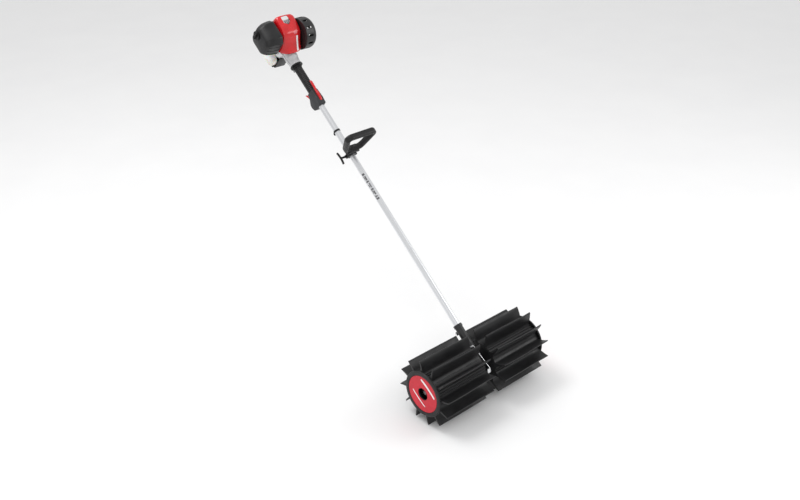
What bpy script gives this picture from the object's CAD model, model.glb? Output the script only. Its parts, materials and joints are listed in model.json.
import json
import math

import bmesh
import bpy
from mathutils import Matrix, Vector, noise


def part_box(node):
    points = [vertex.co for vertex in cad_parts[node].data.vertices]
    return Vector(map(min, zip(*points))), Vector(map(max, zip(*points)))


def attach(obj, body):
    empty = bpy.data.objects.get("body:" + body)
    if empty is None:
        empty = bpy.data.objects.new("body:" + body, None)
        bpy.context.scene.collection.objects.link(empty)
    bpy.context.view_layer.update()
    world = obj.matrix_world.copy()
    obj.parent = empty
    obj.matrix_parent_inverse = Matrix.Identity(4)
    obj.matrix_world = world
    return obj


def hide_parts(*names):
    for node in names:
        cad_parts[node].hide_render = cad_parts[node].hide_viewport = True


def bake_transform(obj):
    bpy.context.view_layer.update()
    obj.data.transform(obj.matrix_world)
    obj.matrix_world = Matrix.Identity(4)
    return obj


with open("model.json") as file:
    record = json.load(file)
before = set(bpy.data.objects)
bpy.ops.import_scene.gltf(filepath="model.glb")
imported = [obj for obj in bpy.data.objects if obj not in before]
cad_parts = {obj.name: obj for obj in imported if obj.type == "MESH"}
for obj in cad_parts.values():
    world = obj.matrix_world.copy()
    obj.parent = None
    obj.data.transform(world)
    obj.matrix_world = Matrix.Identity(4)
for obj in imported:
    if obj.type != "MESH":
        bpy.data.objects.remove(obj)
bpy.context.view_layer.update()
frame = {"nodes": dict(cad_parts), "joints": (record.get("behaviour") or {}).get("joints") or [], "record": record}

MM = 0.001
JOINTS = {joint["name"]: joint for joint in frame["joints"]}
NODES = frame["nodes"]

# The drum's axle, and the shaft frame: X right, N out of the tube's upper side, T up the tube
AXLE = Vector(JOINTS["drum_spin"]["pos_m"])
X = Vector(JOINTS["drum_spin"]["axis"])
Y = Vector((0, 1, 0))
Z = Vector((0, 0, 1))
T = Vector(JOINTS["drive_line_spin"]["axis"]).normalized()
N = T.cross(X)
ON_TUBE = Vector(JOINTS["drive_line_spin"]["pos_m"])
FOOT = ON_TUBE - T * (ON_TUBE - AXLE).dot(T)


def tube(x, n, s):
    """World point of a point in the shaft frame, given in millimetres."""
    return FOOT + (X * x + N * n + T * s) * MM


def axle(x, forward, up):
    """World point of a point in the axle frame, given in millimetres."""
    return AXLE + (X * x + Y * forward + Z * up) * MM


def span(node):
    """Lowest and highest shaft-frame values of a CAD node, in millimetres."""
    offsets = [v.co - FOOT for v in NODES[node].data.vertices]
    return [(min(o.dot(a) for o in offsets) / MM, max(o.dot(a) for o in offsets) / MM)
            for a in (X, N, T)]


def middle(pair):
    """Middle of a (low, high) pair."""
    return (pair[0] + pair[1]) / 2


def joint_point(name):
    """Shaft-frame place of a joint, in millimetres."""
    offset = Vector(JOINTS[name]["pos_m"]) - FOOT
    return offset.dot(X) / MM, offset.dot(N) / MM, offset.dot(T) / MM


# ---- Meshes ----

def circle(r, steps):
    """Ring of points round the origin."""
    turn = 2 * math.pi / steps
    return [(r * math.cos(i * turn), r * math.sin(i * turn)) for i in range(steps)]


def loft(rings, capped=True, closed=False):
    """Points and faces of a skin through rings of equally many points."""
    count = len(rings[0])
    points = [p for ring in rings for p in ring]
    faces = []
    last = len(rings) if closed else len(rings) - 1
    for i in range(last):
        a = i * count
        b = (i + 1) % len(rings) * count
        for j in range(count):
            k = (j + 1) % count
            faces.append((a + j, a + k, b + k, b + j))
    if capped and not closed:
        faces.append(tuple(range(count))[::-1])
        faces.append(tuple((len(rings) - 1) * count + j for j in range(count)))
    return points, faces


def joined(*parts):
    """Several skins as one."""
    points = []
    faces = []
    for part_points, part_faces in parts:
        base = len(points)
        points += part_points
        faces += [tuple(i + base for i in face) for face in part_faces]
    return points, faces


def revolve(profile, place, steps=48, closed=True):
    """Skin of a profile of (radius, height) pairs; place turns (a, b, height) into a point."""
    rings = [[place(a, b, h) for a, b in circle(max(r, 0.01), steps)] for r, h in profile]
    return loft(rings, capped=not closed, closed=closed)


def rounded(outline, radii, steps=5):
    """Outline with its corners rounded; radii is one number or one for each corner."""
    result = []
    count = len(outline)
    for i in range(count):
        before, here, after = (Vector(outline[(i + k) % count]) for k in (-1, 0, 1))
        radius = radii[i] if isinstance(radii, (list, tuple)) else radii
        to_before = before - here
        to_after = after - here
        angle = to_before.angle(to_after)
        reach = min(radius / max(math.tan(angle / 2), 1e-3), 0.48 * min(to_before.length, to_after.length))
        first = here + to_before.normalized() * reach
        final = here + to_after.normalized() * reach
        for k in range(steps + 1):
            t = k / steps
            result.append(tuple(first * (1 - t) ** 2 + here * 2 * t * (1 - t) + final * t ** 2))
    return result


def inset(outline, amount):
    """Outline moved inwards, for an outline that runs anticlockwise."""
    count = len(outline)
    result = []
    for i in range(count):
        here = Vector(outline[i])
        edge = Vector(outline[(i + 1) % count]) - Vector(outline[i - 1])
        inward = Vector((-edge.y, edge.x)).normalized()
        result.append(tuple(here + inward * amount))
    return result


def anticlockwise(outline):
    """Outline, turned round if it runs clockwise."""
    following = outline[1:] + outline[:1]
    area = sum(a[0] * b[1] - b[0] * a[1] for a, b in zip(outline, following))
    return outline if area > 0 else outline[::-1]


def pillow(outline, low, high, soft, place):
    """Solid slab of an outline, with softly rounded rims; place takes (a, b, height)."""
    outline = anticlockwise(outline)
    steps = 4
    layers = []
    for k in range(steps + 1):
        a = math.pi / 2 * k / steps
        layers.append((soft * (1 - math.sin(a)), low + soft * (1 - math.cos(a))))
    layers += [(amount, low + high - h) for amount, h in reversed(layers)]
    rings = [[place(a, b, h) for a, b in inset(outline, amount)] for amount, h in layers]
    return loft(rings)


def smooth_path(points, steps=8):
    """Curve through points, with several steps from each to the next."""
    path = []
    vectors = [Vector(p) for p in points]
    vectors = [2 * vectors[0] - vectors[1]] + vectors + [2 * vectors[-1] - vectors[-2]]
    for i in range(1, len(vectors) - 2):
        a, b, c, d = vectors[i - 1:i + 3]
        for k in range(steps):
            t = k / steps
            path.append(0.5 * (2 * b + (c - a) * t + (2 * a - 5 * b + 4 * c - d) * t ** 2
                               + (3 * b - a - 3 * c + d) * t ** 3))
    path.append(vectors[-2])
    return path


def rounded_path(points, radius, steps=6):
    """Straight lengths joined by round bends."""
    vectors = [Vector(p) for p in points]
    path = [vectors[0]]
    for before, here, after in zip(vectors, vectors[1:], vectors[2:]):
        reach = min(radius, 0.48 * (before - here).length, 0.48 * (after - here).length)
        first = here + (before - here).normalized() * reach
        final = here + (after - here).normalized() * reach
        for k in range(steps + 1):
            t = k / steps
            path.append(first * (1 - t) ** 2 + here * 2 * t * (1 - t) + final * t ** 2)
    return path + [vectors[-1]]


def sweep(path, section, side, round_ends=True):
    """Bar along a path; section is a ring of (across, along side) pairs in millimetres."""
    rings = []
    last = len(path) - 1
    for i, here in enumerate(path):
        ahead = (path[min(i + 1, last)] - path[max(i - 1, 0)]).normalized()
        across = ahead.cross(side).normalized()
        up = across.cross(ahead)
        rings.append([here + (across * a + up * b) * MM for a, b in section])
    if round_ends:
        first = rounded_end(rings[0], path[0] - path[1])
        final = rounded_end(rings[-1], path[-1] - path[-2])
        rings = first + rings + final[::-1]
    return loft(rings)


def rounded_end(ring, outward):
    """Three shrinking rings that close a bar softly."""
    centre = sum(ring, Vector()) / len(ring)
    size = max((p - centre).length for p in ring)
    outward = outward.normalized()
    caps = []
    for angle in (80, 55, 28):
        turn = math.radians(angle)
        reach = outward * size * 0.6 * math.sin(turn)
        caps.append([centre + (p - centre) * math.cos(turn) + reach for p in ring])
    return caps


def oval(a, b, power=2.0, steps=24):
    """Ring between an ellipse and a rectangle."""
    ring = []
    for x, y in circle(1, steps):
        across = math.copysign(abs(x) ** (2 / power), x)
        along = math.copysign(abs(y) ** (2 / power), y)
        ring.append((a * across, b * along))
    return ring


def half_circle(r, steps=24):
    """Upper half of a circle, from its right end to its left end."""
    return [(r * math.cos(math.pi * k / steps), r * math.sin(math.pi * k / steps)) for k in range(steps + 1)]


def piece(name, part, look, body, nodes=(), angle=40, bevel=0.0):
    """One visible piece: a mesh with a look from LOOKS, on a CAD body, that may stand for CAD nodes."""
    points, faces = part
    mesh = bpy.data.meshes.new(name)
    mesh.from_pydata([tuple(p) for p in points], [], faces)
    work = bmesh.new()
    work.from_mesh(mesh)
    bmesh.ops.remove_doubles(work, verts=work.verts, dist=2e-6)
    bmesh.ops.dissolve_degenerate(work, edges=work.edges, dist=1e-7)
    bmesh.ops.recalc_face_normals(work, faces=work.faces)
    work.to_mesh(mesh)
    work.free()
    obj = bpy.data.objects.new(name, mesh)
    smooth_shade(obj, angle)
    bpy.context.scene.collection.objects.link(obj)
    mesh.materials.append(LOOKS[look])
    if bevel:
        add_bevel(obj, bevel)
    if body:
        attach(obj, body)
    if nodes:
        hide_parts(*nodes)
    return obj


def add_bevel(obj, width, angle=32):
    """Softens the rims whose faces meet at more than an angle; the width is in millimetres."""
    modifier = obj.modifiers.new("rim", "BEVEL")
    modifier.width = width * MM
    modifier.segments = 2
    modifier.limit_method = "ANGLE"
    modifier.angle_limit = math.radians(angle)
    modifier.harden_normals = False


def smooth_shade(obj, angle):
    """Smooth shading that stays sharp at edges over an angle."""
    obj.data.polygons.foreach_set("use_smooth", [True] * len(obj.data.polygons))
    obj.data.set_sharp_from_angle(angle=math.radians(angle))


# ---- Looks ----

class Look:
    """Small helper that builds one node material."""

    def __init__(self, name):
        self.material = bpy.data.materials.new(name)
        self.material.use_nodes = True
        self.nodes = self.material.node_tree.nodes
        self.links = self.material.node_tree.links
        self.shader = self.nodes["Principled BSDF"]
        self.place = self.node("ShaderNodeTexCoord").outputs["Object"]

    def node(self, kind, **values):
        node = self.nodes.new(kind)
        for key, value in values.items():
            setattr(node, key, value)
        return node

    def link(self, source, target):
        self.links.new(source, target)

    def stretched(self, scale):
        mapping = self.node("ShaderNodeMapping")
        mapping.inputs["Scale"].default_value = scale
        self.link(self.place, mapping.inputs["Vector"])
        return mapping.outputs["Vector"]

    def noise(self, scale, detail=4.0, rough=0.55, stretch=None):
        node = self.node("ShaderNodeTexNoise")
        node.inputs["Scale"].default_value = scale
        node.inputs["Detail"].default_value = detail
        node.inputs["Roughness"].default_value = rough
        self.link(self.stretched(stretch) if stretch else self.place, node.inputs["Vector"])
        return node.outputs["Fac"]

    def ramp(self, source, low, high, first, final):
        node = self.node("ShaderNodeMapRange")
        node.inputs["From Min"].default_value = low
        node.inputs["From Max"].default_value = high
        node.inputs["To Min"].default_value = first
        node.inputs["To Max"].default_value = final
        self.link(source, node.inputs["Value"])
        return node.outputs["Result"]

    def mix(self, factor, first, second):
        node = self.node("ShaderNodeMix", data_type="RGBA")
        self.link(factor, node.inputs["Factor"])
        for socket, value in ((node.inputs[6], first), (node.inputs[7], second)):
            if isinstance(value, tuple):
                socket.default_value = (*value, 1)
            else:
                self.link(value, socket)
        return node.outputs[2]

    def bump(self, height, strength, distance, under=None):
        node = self.node("ShaderNodeBump")
        node.inputs["Strength"].default_value = strength
        node.inputs["Distance"].default_value = distance
        self.link(height, node.inputs["Height"])
        if under:
            self.link(under, node.inputs["Normal"])
        return node.outputs["Normal"]

    def finish(self, color=None, roughness=None, normal=None, **values):
        for name, source in (("Base Color", color), ("Roughness", roughness), ("Normal", normal)):
            if source is not None:
                self.link(source, self.shader.inputs[name])
        for name, value in values.items():
            self.shader.inputs[name.replace("_", " ")].default_value = value
        return self.material


def plastic(name, dark, light, rough=(0.35, 0.55), grain=1400.0, depth=0.00012, coat=0.0):
    """Moulded plastic: fine grain, cloudy shading and slightly varied gloss."""
    look = Look(name)
    cloud = look.noise(22, 5)
    fine = look.noise(grain, 2)
    scuff = look.noise(240, 6, 0.7, (1, 1, 6))
    color = look.mix(look.ramp(cloud, 0.35, 0.7, 0, 1), dark, light)
    worn = tuple(min(1.0, c * 1.5 + 0.03) for c in light)
    color = look.mix(look.ramp(scuff, 0.62, 0.8, 0, 0.35), color, worn)
    gloss = look.ramp(look.noise(60, 5), 0.3, 0.7, *rough)
    normal = look.bump(fine, 0.25, depth)
    normal = look.bump(cloud, 0.08, 0.002, normal)
    return look.finish(color, gloss, normal, Coat_Weight=coat, Coat_Roughness=0.12, Specular_IOR_Level=0.36)


def rubber(name, dark, light, stretch):
    """Moulded rubber: flow lines along the mould, dust and a soft sheen."""
    look = Look(name)
    flow = look.noise(90, 5, 0.6, stretch)
    dust = look.noise(35, 8, 0.7)
    fine = look.noise(900, 3)
    color = look.mix(look.ramp(flow, 0.35, 0.7, 0, 1), dark, light)
    dusty = tuple(c * 1.8 + 0.012 for c in light)
    color = look.mix(look.ramp(dust, 0.58, 0.82, 0, 0.4), color, dusty)
    gloss = look.ramp(dust, 0.3, 0.75, 0.34, 0.58)
    normal = look.bump(fine, 0.22, 0.0002)
    normal = look.bump(flow, 0.22, 0.0008, normal)
    return look.finish(color, gloss, normal, Sheen_Weight=0.03, Specular_IOR_Level=0.42)


def metal(name, dark, light, rough=(0.25, 0.42), stretch=(1, 1, 1), grain=160.0, depth=0.0002, metallic=1.0):
    """Metal: streaks along its working direction, small stains and a varied polish."""
    look = Look(name)
    streak = look.noise(grain, 6, 0.65, stretch)
    stain = look.noise(28, 6, 0.6)
    color = look.mix(look.ramp(streak, 0.3, 0.72, 0, 1), dark, light)
    stained = tuple(c * 0.72 for c in dark)
    color = look.mix(look.ramp(stain, 0.6, 0.8, 0, 0.4), color, stained)
    gloss = look.ramp(streak, 0.3, 0.7, *rough)
    normal = look.bump(streak, 0.2, depth)
    return look.finish(color, gloss, normal, Metallic=metallic)


def cast_metal(name, dark, light, metallic=0.85, rough=(0.38, 0.6)):
    """Cast metal: pebbled skin with darker pores."""
    look = Look(name)
    pebble = look.noise(420, 4, 0.6)
    cloud = look.noise(30, 5)
    color = look.mix(look.ramp(cloud, 0.3, 0.7, 0, 1), dark, light)
    pores = tuple(c * 0.55 for c in dark)
    color = look.mix(look.ramp(pebble, 0.3, 0.18, 0, 0.6), color, pores)
    gloss = look.ramp(pebble, 0.3, 0.7, *rough)
    normal = look.bump(pebble, 0.35, 0.00035)
    return look.finish(color, gloss, normal, Metallic=metallic)


def tank_look():
    """Milky tank plastic that lets some light through, with the fuel showing darker below."""
    look = Look("tank_plastic")
    cloud = look.noise(18, 4)
    height = look.node("ShaderNodeSeparateXYZ")
    look.link(look.place, height.inputs["Vector"])
    low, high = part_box("fuel_tank")
    full = high.z - low.z
    level = look.ramp(height.outputs["Z"], low.z + 0.3 * full, low.z + 0.36 * full, 1, 0)
    color = look.mix(look.ramp(cloud, 0.3, 0.7, 0, 1), (0.78, 0.78, 0.76), (0.88, 0.88, 0.86))
    color = look.mix(look.ramp(level, 0, 1, 0, 0.35), color, (0.62, 0.6, 0.5))
    normal = look.bump(look.noise(700, 2), 0.15, 0.0002)
    gloss = look.ramp(cloud, 0.3, 0.7, 0.28, 0.42)
    return look.finish(color, gloss, normal, Subsurface_Weight=0.3, Subsurface_Scale=0.01)


def make_looks():
    """Every look by name; each takes its dark tone, its light tone and its own finish."""
    return {
        "rubber": rubber("drum_rubber", (0.003, 0.003, 0.0034), (0.009, 0.009, 0.01), (0.12, 1, 1)),
        "grip": rubber("grip_rubber", (0.004, 0.004, 0.0045), (0.011, 0.011, 0.012), (1, 1, 1)),
        "black_plastic": plastic("black_plastic", (0.004, 0.004, 0.0045), (0.011, 0.011, 0.012)),
        "cover_plastic": plastic("cover_plastic", (0.006, 0.006, 0.0065), (0.016, 0.016, 0.017), (0.3, 0.48)),
        "grey_plastic": plastic("grey_plastic", (0.018, 0.019, 0.021), (0.034, 0.036, 0.039)),
        "red_plastic": plastic("red_plastic", (0.46, 0.005, 0.008), (0.62, 0.008, 0.012),
                               (0.16, 0.3), 900, 0.00006, 0.5),
        "disc_red": plastic("disc_red", (0.5, 0.006, 0.02), (0.62, 0.01, 0.03),
                            (0.3, 0.42), 1100, 0.00006, 0.05),
        "stripe_white": plastic("stripe_white", (0.72, 0.72, 0.72), (0.86, 0.86, 0.86), (0.3, 0.45)),
        "label_pink": plastic("label_pink", (0.62, 0.14, 0.16), (0.7, 0.22, 0.24), (0.3, 0.45)),
        "mark_grey": plastic("mark_grey", (0.09, 0.09, 0.095), (0.2, 0.2, 0.21), (0.4, 0.6)),
        "zinc": metal("zinc_steel", (0.6, 0.61, 0.62), (0.86, 0.86, 0.86), (0.2, 0.4), (1, 1, 1), 90),
        "dark_steel": metal("dark_steel", (0.12, 0.12, 0.125), (0.24, 0.24, 0.245), (0.3, 0.45)),
        "aluminium": metal("tube_aluminium", (0.68, 0.69, 0.71), (0.77, 0.775, 0.79),
                           (0.26, 0.36), (1, 1, 1), 420),
        "cast": cast_metal("cast_aluminium", (0.5, 0.5, 0.51), (0.7, 0.7, 0.71)),
        "black_metal": cast_metal("black_paint", (0.004, 0.004, 0.0045), (0.011, 0.011, 0.012),
                                  0.0, (0.3, 0.5)),
        "bronze": metal("bronze", (0.42, 0.27, 0.11), (0.6, 0.41, 0.18)),
        "felt": plastic("filter_felt", (0.5, 0.42, 0.26), (0.66, 0.58, 0.4), (0.8, 0.95), 700, 0.0006),
        "muffler_steel": metal("muffler_steel", (0.5, 0.4, 0.26), (0.78, 0.68, 0.5),
                               (0.28, 0.5), (1, 1, 1), 50),
        "ceramic": plastic("ceramic", (0.8, 0.8, 0.78), (0.9, 0.9, 0.88), (0.12, 0.25)),
        "tank": tank_look(),
    }


LOOKS = make_looks()
SLOT_LOOKS = {
    "rubber": "rubber", "black_plastic": "black_plastic", "grey_plastic": "grey_plastic",
    "red_plastic": "red_plastic", "disc_red": "disc_red", "zinc_steel": "zinc", "dark_steel": "dark_steel",
    "tube_aluminium": "aluminium", "cast_aluminium": "cast", "black_metal": "black_metal",
    "bronze": "bronze", "tank_plastic": "tank", "felt": "felt", "muffler_steel": "muffler_steel",
    "white_ceramic": "ceramic",
}


def dress_cad_nodes():
    """Looks and softened rims for the CAD nodes that are shown as they are."""
    rims = {"gearcase_right": 1.2, "gearcase_left": 1.2, "hanger_clip": 0.8, "handle_clamp": 1.0,
            "fan_housing": 1.2, "crankcase_front": 1.0, "crankcase_rear": 1.0, "starter_housing": 1.2,
            "fuel_cap": 0.8, "carburetor": 0.8, "grip_collar": 0.9, "guard_plate": 0.4,
            "starter_pulley": 0.6, "cover_knob": 1.0, "choke_lever": 0.8, "filter_base": 1.0}
    for entry in frame["record"]["subparts"]:
        node = NODES[entry["node"]]
        node.data.materials.clear()
        look = "dark_steel" if entry["node"] == "drum_bolts" else SLOT_LOOKS[entry["material_slot"]]
        node.data.materials.append(LOOKS[look])
        smooth_shade(node, 30)
        if entry["node"] in rims:
            add_bevel(node, rims[entry["node"]])


# ---- Drum ----

def segment_outline(core_r, floor_r, tip_r):
    """Section of one rubber segment, with two paddles and three floor ridges, as (forward, up) pairs."""
    half_angle = 29.75
    paddle_angle = 15
    height = tip_r - floor_r
    ridge = ((-2.6, 0), (-1.7, 2.6), (-1.0, 4.2), (1.0, 4.2), (1.7, 2.6), (2.6, 0))
    # The two faces of a paddle: share of its height, and distance from its radius
    front = ((0.06, -8.6), (0.14, -6.2), (0.3, -4.6), (0.6, -2.2), (0.86, 0.9), (0.965, 2.6), (1, 4.2))
    back = ((1, 6.4), (0.965, 7.6), (0.86, 6.4), (0.6, 5.0), (0.3, 5.0), (0.14, 6.6), (0.06, 8.8))
    points = []

    def add(radius, angle, aside=0.0):
        turn = math.radians(angle)
        points.append((radius * math.cos(turn) - aside * math.sin(turn),
                       radius * math.sin(turn) + aside * math.cos(turn)))

    for k in range(13):
        add(core_r, half_angle - 2 * half_angle * k / 12)
    add(floor_r, -half_angle)
    for side in (-paddle_angle, paddle_angle):
        if side > 0:
            for angle in (-7, 0, 7):
                for across, up in ridge:
                    add(floor_r + up, angle, across)
        add(floor_r, side, -12)
        for share, across in front + back:
            add(floor_r + share * height, side, across)
        add(floor_r, side, 12)
    add(floor_r, half_angle)
    return points


def wavy_point(x, number, turn, forward, up):
    """Point of a segment's section, turned into place, with a slight wave towards the paddle tips."""
    radius = math.hypot(forward, up)
    reach = max(0.0, (radius - FLOOR_R) / (TIP_R - FLOOR_R))
    wave = 1.6 * reach ** 2 * math.sin(x * 0.021 + number * 2.1 + (1 if up > 0 else 0))
    wave += 0.9 * reach ** 2 * noise.noise(Vector((x * 0.03, number * 3.3, 1 if up > 0 else 7)))
    angle = math.atan2(up, forward) + turn + wave / TIP_R
    return axle(x, radius * math.cos(angle), radius * math.sin(angle))


def rubber_half(name, low, high, phase):
    """Six rubber segments along one half of the drum, with slightly uneven paddle tips."""
    outline = segment_outline(CORE_R, FLOOR_R, TIP_R)
    segments = 6
    steps = 14
    parts = []
    for k in range(segments):
        turn = math.radians(phase + 360 / segments * k)
        rings = []
        for i in range(steps + 1):
            x = low + (high - low) * i / steps
            rings.append([wavy_point(x, k, turn, forward, up) for forward, up in outline])
        parts.append(loft(rings))
    piece(name, joined(*parts), "rubber", "drum", ("paddles",), 38, 0.5)


def node_radius(node):
    """Largest distance of a node from the drum's axle, in millimetres."""
    return max(math.hypot((v.co - AXLE).y, (v.co - AXLE).z) for v in NODES[node].data.vertices) / MM


# Radii of the rubber, in millimetres, and the turn of each half's first segment, in degrees
TIP_R = node_radius("paddles")
CORE_R = node_radius("drum_cores") + 0.15
FLOOR_R = TIP_R * 0.604
RIGHT_PHASE = 24.0
LEFT_PHASE = 3.0


def build_drum():
    """Both rubber halves on their side of the gap, the end caps and the stripes."""
    low, high = (corner.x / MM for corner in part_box("paddles"))
    gap = 27.5
    rubber_half("rubber_right", gap, high, RIGHT_PHASE)
    rubber_half("rubber_left", low, -gap, LEFT_PHASE)
    build_end_caps()
    build_disc_stripes()


def build_end_caps():
    """Black end caps: a raised lip round the coloured disc, and a spigot that enters the core."""
    low, high = (corner.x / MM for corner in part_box("end_caps"))
    outer = node_radius("end_caps")
    lip = node_radius("end_discs") + 1.2
    hub = 24.0
    for name, side in (("end_cap_right", 1), ("end_cap_left", -1)):
        top = high if side > 0 else -low
        back = top - 7.9
        deep = top - 19.5
        profile = [(hub, back), (hub, top - 4.6), (hub + 1.2, top - 3.2), (lip - 0.6, top - 3.2),
                   (lip, top - 2.6), (lip + 0.6, top - 0.5), (lip + 2.2, top), (outer - 4, top),
                   (outer - 1.2, top - 0.9), (outer, top - 3), (outer, top - 6.6), (outer - 1.4, back)]
        profile += [(66, back), (65.9, deep), (61.5, deep), (61, back)]
        skin = revolve(profile, lambda a, b, h, side=side: axle(side * h, a, b), 96)
        piece(name, skin, "black_plastic", "drum", ("end_caps",), 35)


def disc_bar(x, distance, length, width, turn):
    """Flat printed bar on a disc, bent slightly round the hub."""
    rows = []
    steps = 16
    for i in range(steps + 1):
        along = (i / steps - 0.5) * length
        sag = 0.0016 * along * along
        taper = min(1.0, 4 * min(i, steps - i) / steps + 0.7)
        row = []
        for offset, lift in ((-1, 0), (-1, 1), (1, 1), (1, 0)):
            across = distance - sag + offset * width * taper / 2
            f = across * math.cos(turn) - along * math.sin(turn)
            u = across * math.sin(turn) + along * math.cos(turn)
            row.append(axle(x[lift], f, u))
        rows.append(row)
    return loft(rows)


def build_disc_stripes():
    """Two plain white stripes on each end disc."""
    low, high = (corner.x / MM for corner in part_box("end_discs"))
    turn = math.radians(54.6)
    for name, face in (("right", high), ("left", low)):
        out = math.copysign(0.25, face)
        x = (face - out, face + out)
        bars = joined(disc_bar(x, 50, 92, 9, turn), disc_bar(x, 37, 84, 5, turn + math.pi))
        piece("disc_stripes_" + name, bars, "stripe_white", "drum")


# ---- Shaft ----

def build_tube_marks():
    """Generic printed marks on the bare tube: plain bars, no letters."""
    tube_low, tube_high = span("drive_tube")[0]
    radius = (tube_high - tube_low) / 2
    start = span("loop_handle")[2][0] - 220
    facing = 38
    # Each bar: its distance from the start, its length, its turn and its width in degrees
    bars = [(0, 8, 12, 44), (0, 22, -18, 12), (12, 6, 2, 50), (24, 18, 12, 26), (30, 20, -14, 14),
            (46, 8, 4, 56), (58, 22, 14, 24), (62, 12, -14, 20), (84, 7, 2, 56), (94, 20, 10, 26),
            (98, 18, -16, 14), (119, 9, 2, 50)]
    parts = []
    for offset, length, turn, width in bars:
        rings = []
        for radial in (radius - 0.1, radius + 0.12):
            for k in range(7):
                angle = math.radians(facing + turn + width * (k / 6 - 0.5))
                rings.append([tube(radial * math.cos(angle), radial * math.sin(angle), start + offset + d)
                              for d in (0, length)])
        inner, outer = rings[:7], rings[7:]
        parts.append(loft([[a[0], a[1], b[1], b[0]] for a, b in zip(inner, outer)]))
    piece("tube_marks", joined(*parts), "mark_grey", "machine")


def build_loop_handle():
    """Loop handle: a bent grip bar on a saddle that rests on the tube, with its mould seam."""
    x_span, n_span, s_span = span("loop_handle")
    s = middle(s_span)
    half = x_span[1] - 12
    top = n_span[1] - 12
    lean = 0.05
    bend = 0.014
    sleeve_outer, sleeve_inner = 23.5, 17.2
    side = [(12, 26), (38, 33), (45, 46), (half, top - 12), (half - 10, top)]
    path = [(-x, n) for x, n in side] + side[::-1]
    points = rounded_path([tube(x, n, s + lean * n) for x, n in path], bend)
    grip = sweep(points, oval(10.2, 13.2, 3.2, 28), T)
    base = [(-30, sleeve_inner), (30, sleeve_inner), (31, 24), (24, 34), (-24, 34), (-31, 24)]
    saddle = pillow(rounded(base, 5), s - 17, s + 17, 3, tube)
    arch = half_circle(sleeve_outer) + half_circle(sleeve_inner)[::-1]
    sleeve = loft([[tube(a, b, h) for a, b in arch] for h in (s - 20, s - 19, s + 19, s + 20)])
    seam_path = rounded_path([tube(x, n, s - 13.1 + lean * n) for x, n in path[1:-1]], bend)
    seam = sweep(seam_path, oval(2.4, 0.9, 2, 10), T)
    piece("loop_handle_grip", joined(grip, saddle, sleeve, seam), "black_plastic",
          "front_handle", ("loop_handle",), 45)


def build_handle_knob():
    """T-shaped clamp knob: a bowed bar on a waisted stem."""
    x_span, n_span, s_span = span("handle_knob")
    n, s = middle(n_span), middle(s_span)
    bar_x = x_span[1] - 5
    bow = [(bar_x + 3, -26), (bar_x + 1, -16), (bar_x, 0), (bar_x + 1, 16), (bar_x + 3, 26)]
    bar = sweep(smooth_path([tube(x, n, s + d) for x, d in bow]), oval(4.6, 4.6, 2, 20), X)
    profile = [(0, -16), (2.9, -16), (2.9, 11), (6.5, 11.4), (7, 13), (5, 20), (4.2, 30), (5.5, 38),
               (5, bar_x), (0, bar_x)]
    stem = revolve(profile, lambda a, b, h: tube(h, n + a, s + b), 28, closed=False)
    piece("clamp_knob", joined(bar, stem), "black_plastic", "handle_knob",
          ("handle_knob",), 40)


# ---- Controls ----

def side_view(s0, n0=0):
    """Place for side outlines given as (s, n), with the height along X."""
    return lambda s, n, h: tube(h, n0 + n, s0 + s)


def leftward(n0, s0):
    """Place for round profiles whose height runs to the left."""
    return lambda a, b, h: tube(-h, n0 + a, s0 + b)


def upright(x0, s0):
    """Place for outlines and profiles whose height runs out of the tube's upper side."""
    return lambda a, b, h: tube(x0 + a, h, s0 + b)


def build_housing():
    """Two halves of the control housing, with a fine parting line between them."""
    s0, s1 = span("control_housing_right")[2]
    outline = [(0, -18), (0, 17), (8, 22), (32, 25), (s1 - s0, 20), (s1 - s0, -19), (56, -27),
               (38, -42), (24, -45), (4, -38)]
    soft = rounded(outline, [9, 8, 8, 12, 6, 6, 12, 10, 10, 10], 4)
    for name, low, high in (("right", 0.05, 17), ("left", -17, -0.05)):
        shell = half_pillow(soft, low, high, 4.5, side_view(s0))
        piece("housing_shell_" + name, shell, "grey_plastic", "machine",
              ("control_housing_" + name,), 40)


def half_pillow(outline, low, high, soft, place):
    """Half of a soft slab: flat on its inner side and rounded on its outer side."""
    outline = anticlockwise(outline)
    inner, outer = (low, high) if high > 0 else (high, low)
    direction = math.copysign(1, outer)
    layers = [(0.0, inner)]
    for k in range(6):
        a = math.pi / 2 * k / 5
        layers.append((soft * (1 - math.cos(a)), outer - direction * soft * (1 - math.sin(a))))
    rings = [[place(a, b, h) for a, b in inset(outline, amount)] for amount, h in layers]
    return loft(rings)


def build_controls():
    """Throttle trigger below the housing and lockout lever above it."""
    _, n, s = joint_point("throttle_trigger_pull")
    outline = [(-5, -5), (-5, 4), (2, 6), (24, 1), (36, -10), (48, -25), (45, -27.5), (30, -19),
               (14, -11), (4, -7)]
    trigger = pillow(rounded(outline, 3, 4), -4.8, 4.8, 2, side_view(s, n))
    piece("trigger", trigger, "red_plastic", "throttle_trigger", ("throttle_trigger",), 45)
    _, n, s = joint_point("lockout_press")
    outline = [(-5, -3), (-5, 5), (2, 9), (28, 13), (46, 8.6), (56, 11.5), (84, 12.5), (94, 8), (92, 6),
               (56, 6.6), (44, 4), (20, 1), (4, -3)]
    lever = pillow(rounded(outline, 3, 4), -5.4, 5.4, 2, side_view(s, n))
    piece("lever", lever, "red_plastic", "lockout_lever", ("lockout_lever",), 45)


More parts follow.
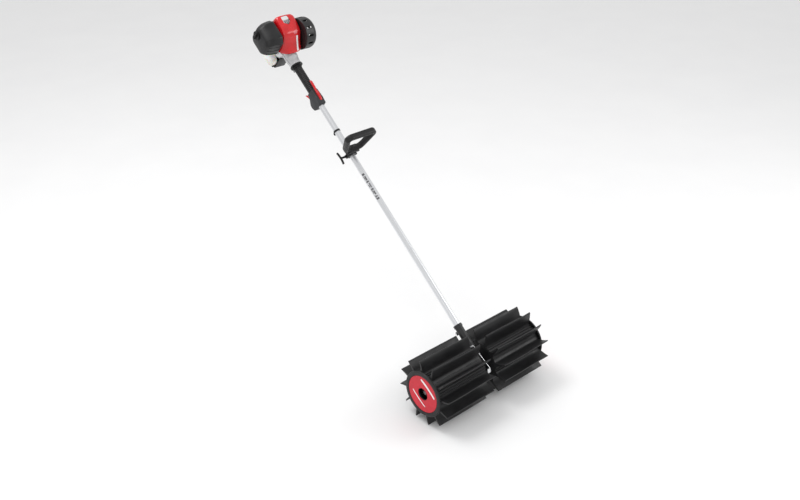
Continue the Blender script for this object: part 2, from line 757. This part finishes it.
def build_grip():
    """Rear grip: a rubber sleeve with a groove every few millimetres."""
    s0, s1 = span("rear_grip")[2]
    outer = span("rear_grip")[0][1]
    bore = 13
    pitch = 8
    groove = [(0, 0), (0.5, 0.7), (1.9, 1.2), (1.9, 2.4), (0.5, 2.9), (0, 3.6)]
    profile = [(bore, s0), (outer - 1.6, s0), (outer - 0.4, s0 + 1.2), (outer, s0 + 4)]
    s = s0 + 7
    while s < s1 - 10:
        profile += [(outer - depth, s + along) for depth, along in groove]
        s += pitch
    profile += [(outer, s1 - 3), (outer - 1.2, s1), (bore, s1)]
    piece("grip_sleeve", revolve(profile, tube), "grip", "machine", ("rear_grip",), 50)


def build_cable():
    """Throttle cable as one smooth sleeve from the control housing to the carburetor."""
    points = [(-13, -19.5, 1320), (-14, -19.5, 1370), (-15, -19.5, 1446), (-27, -29, 1490),
              (-37, -37, 1535), (-41, -41, 1570), (-36, -42.5, 1592), (0, -43, 1600),
              (30, -41, 1604), (46, -12, 1597), (47, 30, 1596), (47, 66, 1596)]
    path = smooth_path([tube(*p) for p in points], 6)
    sleeve = sweep(path, oval(2.1, 2.1, 2, 12), X + N * 0.3)
    piece("cable_sleeve", sleeve, "black_plastic", "machine", ("throttle_cable",), 50)


# ---- Engine ----

CRANK_S = joint_point("engine_spin")[2]


def build_bell():
    """Clutch bell: a cast neck that flares into the engine flange, with shallow ribs."""
    s0, s1 = span("clutch_housing")[2]
    profile = [(12.8, s0), (24, s0), (25, s0 + 1.2), (25.2, s0 + 20), (26.2, s0 + 27), (28.6, s0 + 34),
               (29.4, s0 + 40), (29.6, s0 + 64), (31, s0 + 69), (35, s0 + 72), (45, s0 + 74),
               (46, s0 + 75), (46, s1), (26.5, s1), (26.5, s0 + 33.2), (14, s0 + 32), (14, s0 + 24),
               (12.8, s0 + 19)]
    rib = [(24.6, s0 + 4), (26.4, s0 + 6), (31, s0 + 40), (31, s0 + 62), (40, s0 + 74), (29, s0 + 74)]
    rib_half = 1.6
    parts = [revolve(profile, tube, 64)]
    for angle in range(-60, 300, 60):
        turn = math.radians(angle)
        out = (math.cos(turn), math.sin(turn))
        side = (-out[1], out[0])
        rings = [[tube(out[0] * r + side[0] * w, out[1] * r + side[1] * w, s) for r, s in rib]
                 for w in (-rib_half, rib_half)]
        parts.append(loft(rings))
    piece("clutch_bell", joined(*parts), "cast", "machine", ("clutch_housing",), 35, 0.6)


# Rows of the engine cover from its lip to the starter: the ridge's s and n, the half widths to
# the right and left, the edge's s and n, and how square the arch is; s counts from the crankshaft.
COVER_ROWS = [
    (-95, 33, 55, 55, -62, 18, 2.3), (-94, 37, 55, 55, -60, 22, 2.3), (-86, 44, 54, 54.5, -56, 29, 2.4),
    (-76, 54, 51.5, 53, -50, 38, 2.6), (-64, 67, 48.5, 51, -44, 48, 3.0),
    (-53, 80, 46.5, 50, -37, 59, 3.6), (-43, 92, 45.5, 49.5, -30, 67, 4.4),
    (-35, 100, 45, 49.5, -24, 71, 5.4), (-20, 105, 45, 49.5, -14, 73, 6.5),
    (-4, 108, 45, 49.5, -3, 73, 7), (12, 110, 45.5, 50, 12, 73, 7), (26, 112, 46, 50, 26, 73, 6.5),
    (38, 114, 46, 49, 38, 72, 5.6), (46, 113, 44.5, 46, 46, 70, 4.6), (50, 108, 42, 43, 50, 66, 4)]


def cover_point(row, x):
    """Point of one cover row at a distance x from the middle, as (x, n, s)."""
    s_ridge, n_ridge, right, left, s_edge, n_edge, power = row
    across = min(1.0, x / right if x > 0 else -x / left)
    rise = (1 - across ** power) ** (1 / power)
    return x, n_edge + (n_ridge - n_edge) * rise, CRANK_S + s_edge + (s_ridge - s_edge) * rise


def cover_ring(row):
    """Points of one cover row, closer together where it bends more."""
    power = row[6]
    steps = 48
    ring = []
    for k in range(steps + 1):
        turn = math.cos(math.pi * k / steps)
        half = row[2] if turn > 0 else row[3]
        ring.append(tube(*cover_point(row, half * math.copysign(abs(turn) ** (2 / power), turn))))
    return ring


def cover_row(share):
    """Row between two of the cover's rows; share counts rows from the lip."""
    k = min(int(share), len(COVER_ROWS) - 2)
    part = share - k
    return [a + (b - a) * part for a, b in zip(COVER_ROWS[k], COVER_ROWS[k + 1])]


def cut(obj, part):
    """Takes the solid part out of obj for good."""
    mesh = bpy.data.meshes.new("cutter")
    mesh.from_pydata([tuple(p) for p in part[0]], [], part[1])
    work = bmesh.new()
    work.from_mesh(mesh)
    bmesh.ops.recalc_face_normals(work, faces=work.faces)
    work.to_mesh(mesh)
    work.free()
    cutter = bpy.data.objects.new("cutter", mesh)
    bpy.context.scene.collection.objects.link(cutter)
    modifier = obj.modifiers.new("cut", "BOOLEAN")
    modifier.object = cutter
    modifier.solver = "EXACT"
    apply_modifiers(obj)
    bpy.data.objects.remove(cutter)


def apply_modifiers(obj):
    """Makes the result of an object's modifiers its own mesh."""
    bpy.context.view_layer.update()
    graph = bpy.context.evaluated_depsgraph_get()
    mesh = bpy.data.meshes.new_from_object(obj.evaluated_get(graph))
    obj.modifiers.clear()
    obj.data = mesh


def build_engine_cover():
    """Red cover over the cylinder: an arched shell with a window and four side slots."""
    points, faces = [], []
    rings = [cover_ring(cover_row(k / 2)) for k in range(2 * len(COVER_ROWS) - 1)]
    count = len(rings[0])
    for ring in rings:
        points += ring
    for i in range(len(rings) - 1):
        for j in range(count - 1):
            a = i * count + j
            faces.append((a, a + 1, a + count + 1, a + count))
    cover = piece("cover_shell", (points, faces), "red_plastic", "machine",
                  ("engine_cover",), 35)
    solid = cover.modifiers.new("wall", "SOLIDIFY")
    solid.thickness = 2.4 * MM
    solid.offset = -1
    apply_modifiers(cover)
    window = rounded([(0, 1), (19, 12), (22, 41), (-11, 43), (-17, 16)], 4, 3)
    cut(cover, loft([[tube(x, n, CRANK_S + s) for x, s in window] for n in (84, 140)]))
    slots = []
    for k in range(4):
        n = 80 + 5 * k
        outline = [(-16, n), (14, n), (14, n + 2.2), (-16, n + 2.2)]
        slots.append(loft([[tube(x, n, CRANK_S + s) for s, n in outline] for x in (38, 50)]))
    cut(cover, joined(*slots))
    smooth_shade(cover, 35)
    add_bevel(cover, 0.5, 50)


def cover_strip(x0, x1, start, end, lift, steps=12):
    """Thin strip that lies on the cover between two distances from the middle and two rows."""
    rings = []
    out = (N - T * 0.6).normalized() * MM
    sunk = 1.2
    for k in range(steps + 1):
        row = cover_row(start + (end - start) * k / steps)
        ring = [tube(*cover_point(row, x0 + (x1 - x0) * i / 4)) + out * lift for i in range(5)]
        ring += [tube(*cover_point(row, x1 + (x0 - x1) * i / 4)) - out * sunk for i in range(5)]
        rings.append(ring)
    return loft(rings)


def build_cover_marks():
    """White stripe, small label and pale crease on the cover."""
    stripe = cover_strip(-27, -18.5, 1.2, 5.6, 0.7)
    piece("cover_stripe", stripe, "stripe_white", "machine", (), 40, 0.3)
    label = cover_strip(-24, -8, 6.3, 7.2, 0.5, 5)
    piece("cover_label", label, "label_pink", "machine", (), 40, 0.3)
    crease_x = 41.5
    crease_rows = (12.4, 11.4, 10, 9, 8, 7.2, 6.4, 5.8)
    crease = [tube(*cover_point(cover_row(share), crease_x)) for share in crease_rows]
    bead = sweep(smooth_path(crease, 6), oval(3.0, 2.0, 2, 14), X)
    piece("cover_crease", bead, "red_plastic", "machine", (), 50)


def build_cylinder_top():
    """Finned cylinder: thin cooling fins with rounded corners round the barrel, and the head."""
    parts = []
    depth = 23.5
    for k in range(7):
        n = 43 + 6.5 * k
        half = 31 - (0.6 * k)
        outline = rounded([(-half, -depth), (half, -depth), (half, depth), (-half, depth)], 7, 4)
        parts.append(pillow(outline, n, n + 2.2, 0.9, upright(0, CRANK_S)))
    profile = [(18.2, 30.8), (24, 30.8), (24, 70), (23, 88), (20, 90.4), (5.2, 90.4), (5.2, 77), (18.2, 71)]
    parts.append(revolve(profile, upright(0, CRANK_S), 48))
    for k in range(5):
        x = -20 + 10 * k
        outline = rounded([(4, 78), (34, 78), (34, 99), (12, 103)], 3, 3)
        parts.append(pillow(outline, x - 1.3, x + 1.3, 0.6, side_view(CRANK_S)))
    piece("cylinder_fins", joined(*parts), "cast", "machine", ("engine_cylinder",), 35)


def ring_at(x, half_s, half_n, centre_s, centre_n, cut_share=0.32, soft=7, steps=4):
    """Ring across X: a rectangle with its corners cut off and softened."""
    outline = []
    corner = [(1, 1), (-1, 1), (-1, -1), (1, -1)]
    cut_s, cut_n = half_s * cut_share, half_n * cut_share
    for i, (a, b) in enumerate(corner):
        pair = [(a * half_s, b * (half_n - cut_n)), (a * (half_s - cut_s), b * half_n)]
        outline += pair if i % 2 == 0 else pair[::-1]
    return [tube(x, centre_n + n, centre_s + s) for s, n in rounded(outline, soft, steps)]


def build_filter_cover():
    """Black filter cover: a hollow shell that narrows outwards, with three ribs along its underside."""
    end = span("filter_cover")[0][1]
    base_n, base_s = (middle(pair) for pair in span("filter_base")[1:])
    # Each row: x, half sizes along s and n, shifts of the middle along s and n, corner softness
    outer = [(58.5, 57, 51, 0, 0, 9), (58.5, 59.5, 53.5, 0, 0, 9), (61, 60.5, 54.5, 0, 0, 9),
             (72, 60.5, 54.5, 0, 0, 9), (end - 44, 59.5, 53.5, -0.5, -0.5, 10),
             (end - 28, 57.5, 51.5, -1, -1.5, 11), (end - 15, 54, 47.5, -2, -3.5, 12),
             (end - 6, 50, 43, -2.5, -5, 12), (end - 1.6, 46, 39, -3, -6, 12),
             (end, 42.5, 35.5, -3, -6.5, 11), (end, 8, 8, 20, 2, 4)]
    inner = [(70, 56, 50, 0, 0, 8), (end - 28, 53, 47, -1, -1.5, 10), (end - 5, 40, 33, -3, -6, 10),
             (end - 4, 8, 8, 20, 2, 4)]
    rings = [ring_at(x, half_s, half_n, base_s + ds, base_n + dn, 0.34, soft)
             for x, half_s, half_n, ds, dn, soft in outer + inner[::-1]]
    parts = [loft(rings, closed=True)]
    for low in (-0.62, -0.2, 0.22):
        path = []
        for i in range(9):
            share = i / 8
            path.append(tube(66 + share * (end - 78), base_n + low * 54 * (1 - 0.1 * share),
                             base_s - 60.6 + 5.2 * share ** 2))
        parts.append(sweep(path, oval(1.4, 3.2, 2, 12), N))
    piece("filter_shell", joined(*parts), "cover_plastic", "machine",
          ("filter_cover",), 28, 0.8)


def build_muffler_guard():
    """Round guard with a slotted rim and a grilled end, turned to face the left."""
    x_span, n_span, s_span = span("muffler_guard")
    n, s = middle(n_span), middle(s_span)
    outer = (n_span[1] - n_span[0]) / 2
    near, far = -x_span[1], -x_span[0]
    profile = [(0, near), (outer - 1, near), (outer, near + 1), (outer, far - 20), (outer - 1.6, far - 12),
               (outer - 7, far - 4), (outer - 16, far), (20, far), (18, far - 1.4), (18, far - 3),
               (outer - 17, far - 2.6), (outer - 9, far - 6.5), (outer - 4.2, far - 13),
               (outer - 2.6, far - 20), (outer - 2.6, near + 2), (0, near + 2)]
    skin = revolve(profile, leftward(n, s), 72, closed=False)
    guard = piece("guard_cup", skin, "black_metal", "machine", ("muffler_guard",), 35)
    window = [(36, 1), (86, 1), (86, 48), (36, 48)]
    cut(guard, loft([[tube(-h, a, s + b) for a, b in window] for h in (near - 2, near + 5)]))
    rim_slot = rounded([(near + 9, -5), (far - 24, -5), (far - 24, 5), (near + 9, 5)], 4, 3)
    end_slot = rounded([(26, -4), (outer - 21, -6.5), (outer - 21, 6.5), (26, 4)], 3, 3)
    cutters = [rim_cutter(n, s, rim_slot, (outer - 8, outer + 4), 30 * k + 15) for k in range(12)]
    cutters += [end_cutter(n, s, end_slot, (far - 6, far + 3), 45 * k) for k in range(8)]
    cut(guard, joined(*cutters))
    smooth_shade(guard, 35)


def rim_cutter(n, s, slot, reach, angle):
    """Slot through the guard's rim; slot holds (leftward, across) pairs."""
    turn = math.radians(angle)
    rings = []
    for radial in reach:
        rings.append([tube(-h, n + radial * math.cos(turn) - w * math.sin(turn),
                           s + radial * math.sin(turn) + w * math.cos(turn)) for h, w in slot])
    return loft(rings)


def end_cutter(n, s, slot, reach, angle):
    """Slot through the guard's end; slot holds (radius, across) pairs."""
    turn = math.radians(angle)
    rings = []
    for h in reach:
        rings.append([tube(-h, n + r * math.cos(turn) - w * math.sin(turn),
                           s + r * math.sin(turn) + w * math.cos(turn)) for r, w in slot])
    return loft(rings)


def build_muffler():
    """Pressed muffler can with its rolled seam, exhaust stub and cylinder flange."""
    x_span, n_span, _ = span("muffler")
    x0, x1 = x_span[0], x_span[0] + 37.5
    n0, n1 = n_span
    s0, s1 = CRANK_S - 24, CRANK_S + 20
    outline = rounded([(n0, s0), (n1, s0), (n1, s1), (n0, s1)], 8, 5)
    body = pillow(outline, x0, x1, 5, lambda a, b, h: tube(h, a, b))
    seam = pillow(inset(anticlockwise(outline), -2), middle((x0, x1)) - 1, middle((x0, x1)) + 1, 0.6,
                  lambda a, b, h: tube(h, a, b))
    pipe = revolve([(5.5, s1 - 2), (7, s1 - 2), (7, s1 + 9), (5.5, s1 + 9)],
                   lambda a, b, h: tube(-66 + a, 62 + b, h), 28)
    flange = revolve([(8, -x_span[1]), (12, -x_span[1]), (12, 46), (8, 46)], leftward(56, CRANK_S), 28)
    piece("muffler_can", joined(body, seam, pipe, flange), "muffler_steel", "machine",
          ("muffler",), 40)


def build_tank():
    """Blown tank with soft ends, a seam round its middle and the filler neck on its left."""
    x_span, n_span, s_span = span("fuel_tank")
    n, s = middle(n_span), middle(s_span)
    high_x = x_span[1]
    low_x = -high_x
    half_n, half_s = (n_span[1] - n_span[0]) / 2, (s_span[1] - s_span[0]) / 2
    rows = [(0.0, 13), (0.8, 9), (3, 5.2), (7, 2.2), (13, 0.3), (16, 0)]
    layers = [(low_x + d, amount) for d, amount in rows]
    layers += [(high_x - d, amount) for d, amount in reversed(rows)]
    corners = [(-half_s, -half_n), (half_s, -half_n), (half_s, half_n), (-half_s, half_n)]
    outline = anticlockwise(rounded(corners, 18, 7))
    rings = [[tube(x, n + b, s + a) for a, b in inset(outline, amount)] for x, amount in layers]
    seam = pillow(inset(outline, -1.1), -0.9, 0.9, 0.5, side_view(s, n))
    neck = revolve([(11, -low_x - 2), (14, -low_x - 2), (14, -low_x + 7.5), (11, -low_x + 7.5)],
                   leftward(n, s + 14), 36)
    piece("tank_shell", joined(loft(rings), seam, neck), "tank", "machine",
          ("fuel_tank",), 45)


def build_stand():
    """Bent strap below the tank, with two skids and a rivet head at each of their ends."""
    x_span, n_span, s_span = span("tank_stand")
    s0 = s_span[0]
    n_low = n_span[0]
    outline = [(0, n_low + 68), (2.4, n_low + 68), (5.5, n_low + 6), (96, n_low + 3.4), (120, n_low + 6),
               (122, n_low + 4), (98, n_low), (1, n_low)]
    half = x_span[1] - 8
    parts = [pillow(rounded(outline, [1, 1, 6, 8, 1, 1, 8, 5], 4), -half, half, 1.0, side_view(s0))]
    rivet = [(0, n_low), (6, n_low), (7, n_low + 2), (7, n_low + 6), (0, n_low + 6)]
    for side in (-1, 1):
        skid = rounded([(8, n_low), (96, n_low), (96, n_low + 5), (8, n_low + 5)], 2, 3)
        low, high = sorted((side * (half - 2), side * x_span[1]))
        parts.append(pillow(skid, low, high, 1.2, side_view(s0)))
        for s in (16, 88):
            parts.append(revolve(rivet, upright(side * (half - 3), s0 + s), 20, closed=False))
    piece("stand_frame", joined(*parts), "black_plastic", "machine", ("tank_stand",), 40)


def build_starter():
    """Starter handle, and the rope that leaves the housing with it."""
    x_span, n_span, s_span = span("starter_handle")
    n, s = middle(n_span), middle(s_span)
    bar_x = x_span[0] + 7.5
    bow = [(bar_x + 4, -34), (bar_x, -22), (bar_x - 0.6, 0), (bar_x, 22), (bar_x + 4, 34)]
    bar = sweep(smooth_path([tube(x, n + d, s) for x, d in bow]), oval(6.4, 7.2, 2.4, 20), T)
    profile = [(0, 59.4), (4.6, 59.4), (6, 62), (7, 70), (0, 72)]
    stem = revolve(profile, leftward(n, s), 24, closed=False)
    piece("pull_handle", joined(bar, stem), "black_plastic", "starter_handle",
          ("starter_handle",), 45)
    rope = sweep([tube(-28 - k * 2, n, s) for k in range(18)], oval(1.8, 1.8, 2, 12), T)
    cord = piece("starter_rope", rope, "grip", None, (), 50)
    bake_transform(cord)


# ---- Picture ----

def build_stage():
    """Plain pale floor."""
    look = Look("floor")
    cloud = look.noise(3, 3)
    color = look.mix(cloud, (0.86, 0.86, 0.865), (0.9, 0.9, 0.9))
    look.finish(color, look.ramp(cloud, 0, 1, 0.7, 0.8))
    mesh = bpy.data.meshes.new("floor")
    half = 14
    corners = [(-half, -half, 0), (half, -half, 0), (half, half, 0), (-half, half, 0)]
    mesh.from_pydata(corners, [], [(0, 1, 2, 3)])
    mesh.materials.append(look.material)
    floor = bpy.data.objects.new("floor", mesh)
    bpy.context.scene.collection.objects.link(floor)


def add_light(name, place, target, size, power):
    """Soft square light; place and target count from the drum's axle."""
    data = bpy.data.lights.new(name, "AREA")
    data.size = size
    data.energy = power
    light = bpy.data.objects.new(name, data)
    light.location = AXLE + Vector(place)
    light.rotation_euler = (Vector(target) - Vector(place)).to_track_quat("-Z", "Y").to_euler()
    bpy.context.scene.collection.objects.link(light)


def build_lights():
    """White surroundings and three soft lights."""
    world = bpy.data.worlds.new("studio")
    world.use_nodes = True
    background = world.node_tree.nodes["Background"]
    background.inputs["Color"].default_value = (1, 1, 1, 1)
    background.inputs["Strength"].default_value = 0.8
    bpy.context.scene.world = world
    add_light("key", (1.1, -1.9, 3.8), (0, -0.5, 0.3), 1.8, 62)
    add_light("front", (3.2, 2.6, 2.0), (0, -0.4, 0.4), 2.4, 26)
    add_light("rim", (-2.6, 1.6, 2.2), (0, -0.5, 0.5), 1.6, 30)


def build_camera():
    """Camera at the photograph's angle: azimuth from +X towards +Y, elevation above the floor."""
    azimuth = math.radians(47.89)
    elevation = math.radians(28.11)
    distance = 4.074
    aside = -0.3039
    above = 0.5381
    flat = math.cos(elevation)
    back = Vector((math.cos(azimuth) * flat, math.sin(azimuth) * flat, math.sin(elevation)))
    right = Vector((-math.sin(azimuth), math.cos(azimuth), 0))
    up = back.cross(right)
    place = AXLE + back * distance + right * aside + up * above
    data = bpy.data.cameras.new("photo_view")
    data.sensor_width = 36
    data.lens = 45.7425
    data.shift_y = -0.025
    data.clip_end = 60
    camera = bpy.data.objects.new("photo_view", data)
    camera.matrix_world = Matrix((
        (right.x, up.x, back.x, place.x),
        (right.y, up.y, back.y, place.y),
        (right.z, up.z, back.z, place.z),
        (0, 0, 0, 1)))
    bpy.context.scene.collection.objects.link(camera)
    bpy.context.scene.camera = camera
    bpy.context.scene.view_settings.view_transform = "Standard"


dress_cad_nodes()
build_drum()
build_tube_marks()
build_loop_handle()
build_handle_knob()
build_housing()
build_controls()
build_grip()
build_cable()
build_bell()
build_engine_cover()
build_cover_marks()
build_cylinder_top()
build_filter_cover()
build_muffler_guard()
build_muffler()
build_tank()
build_stand()
build_starter()
build_stage()
build_lights()
build_camera()

bpy.context.view_layer.update()
